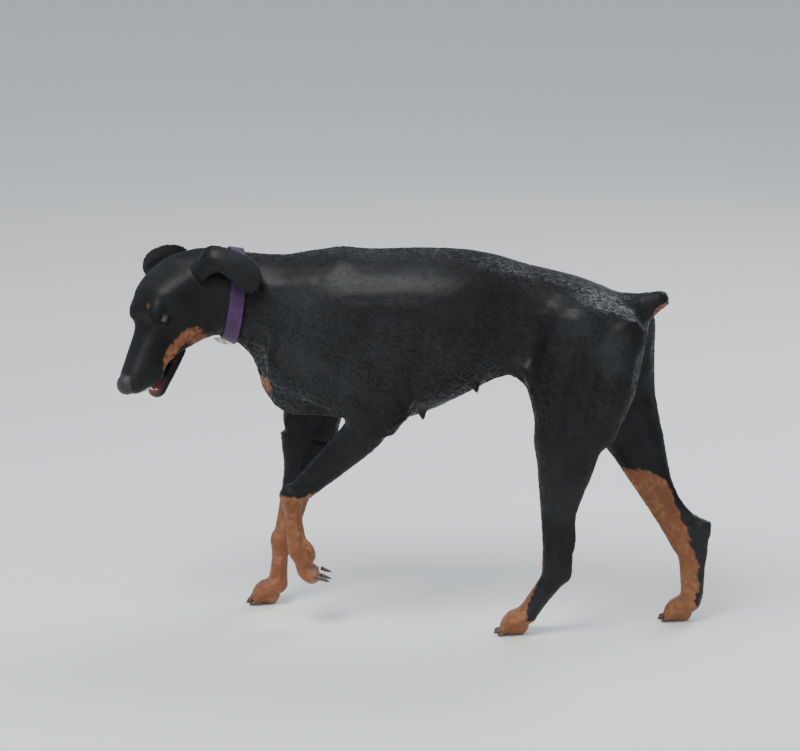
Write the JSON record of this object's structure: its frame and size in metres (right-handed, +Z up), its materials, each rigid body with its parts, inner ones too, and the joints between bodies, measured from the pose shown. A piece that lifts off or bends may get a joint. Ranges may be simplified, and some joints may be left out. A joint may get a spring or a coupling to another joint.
{
  "type": "doberman pinscher figure",
  "caption": "Life-size doberman pinscher bitch, black and rust, walking with one foreleg lifted, head low and turned aside, drop ears laid back, docked tail, in a collar.",
  "frame": {"origin": "middle of the footprint of the whole dog, on the floor under the planted paws", "axes": "-X the way the dog walks, -Y its left side, +Z up; X runs along its length"},
  "size_m": [1.0376, 0.2858, 0.6924],
  "materials": {
    "coat": "short smooth black and rust coat",
    "nose_leather": "pebbled, slightly moist",
    "tongue_flesh": "wet pink flesh",
    "eye_wet": "wet, dark brown",
    "collar_nylon": "woven purple nylon webbing",
    "collar_metal": "plated, slightly worn"
  },
  "bodies": {
    "root": {"chest": "coat", "loin": "coat", "rump": "coat", "tail": "coat", "forearm_left": "coat", "forepaw_left": "coat", "forearm_right": "coat", "forepaw_right": "coat", "thigh_left": "coat", "shank_left": "coat", "hindpaw_left": "coat", "thigh_right": "coat", "shank_right": "coat", "hindpaw_right": "coat", "head": "coat", "nose": "nose_leather", "jaw": "coat", "tongue": "tongue_flesh", "eye_left": "eye_wet", "eye_right": "eye_wet", "ear_left": "coat", "ear_right": "coat", "neck": "coat", "collar_band": "collar_nylon", "collar_buckle": "collar_metal", "collar_ring": "collar_metal"}
  },
  "joints": []
}
